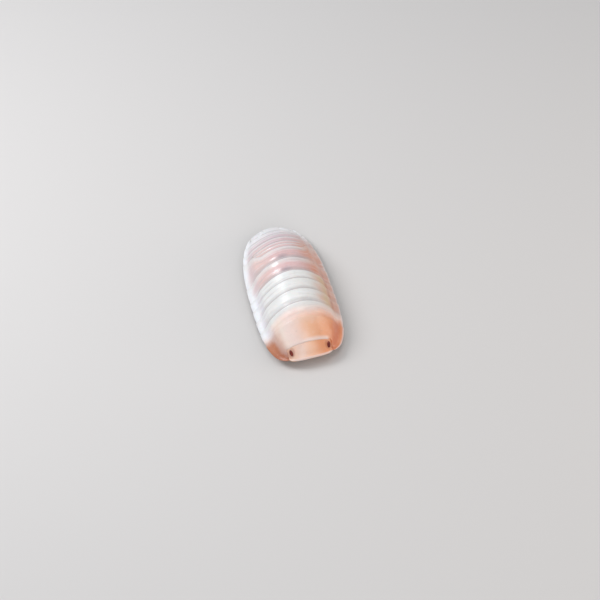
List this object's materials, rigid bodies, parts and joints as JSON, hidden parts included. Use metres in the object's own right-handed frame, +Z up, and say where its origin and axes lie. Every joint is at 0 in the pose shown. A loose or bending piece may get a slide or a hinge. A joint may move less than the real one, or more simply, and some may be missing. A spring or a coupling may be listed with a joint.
{
  "type": "woodlouse",
  "caption": "Pill woodlouse standing at rest: domed oval body of overlapping curved plates, small head sunk in the front plate, short legs under the rim.",
  "frame": {"origin": "centre of the bounding box's bottom face, on the floor plane under the middle of the body", "axes": "+Z up, head towards -Y, tail towards +Y, the animal's left side towards +X"},
  "size_m": [0.0078, 0.016, 0.0044],
  "materials": {
    "shell_white": "glossy pale shell, off-white",
    "shell_pink": "glossy shell, pale mauve pink",
    "shell_orange": "glossy shell, peach orange",
    "limb": "satin, pale cream",
    "eye": "glossy, near black with a red cast"
  },
  "bodies": {
    "root": {"head": "shell_orange", "eye_left": "eye", "eye_right": "eye", "antenna_left": "limb", "antenna_right": "limb", "pereonite_1": "shell_orange", "pereonite_2": "shell_white", "pereonite_3": "shell_white", "pereonite_4": "shell_white", "pereonite_5": "shell_white", "pereonite_6": "shell_pink", "pereonite_7": "shell_pink", "pleonite_1": "shell_pink", "pleonite_2": "shell_pink", "pleonite_3": "shell_pink", "pleonite_4": "shell_white", "pleonite_5": "shell_white", "telson": "shell_white", "uropod_left": "shell_white", "uropod_right": "shell_white", "leg_left_1": "limb", "leg_left_2": "limb", "leg_left_3": "limb", "leg_left_4": "limb", "leg_left_5": "limb", "leg_left_6": "limb", "leg_left_7": "limb", "leg_right_1": "limb", "leg_right_2": "limb", "leg_right_3": "limb", "leg_right_4": "limb", "leg_right_5": "limb", "leg_right_6": "limb", "leg_right_7": "limb"}
  },
  "joints": []
}
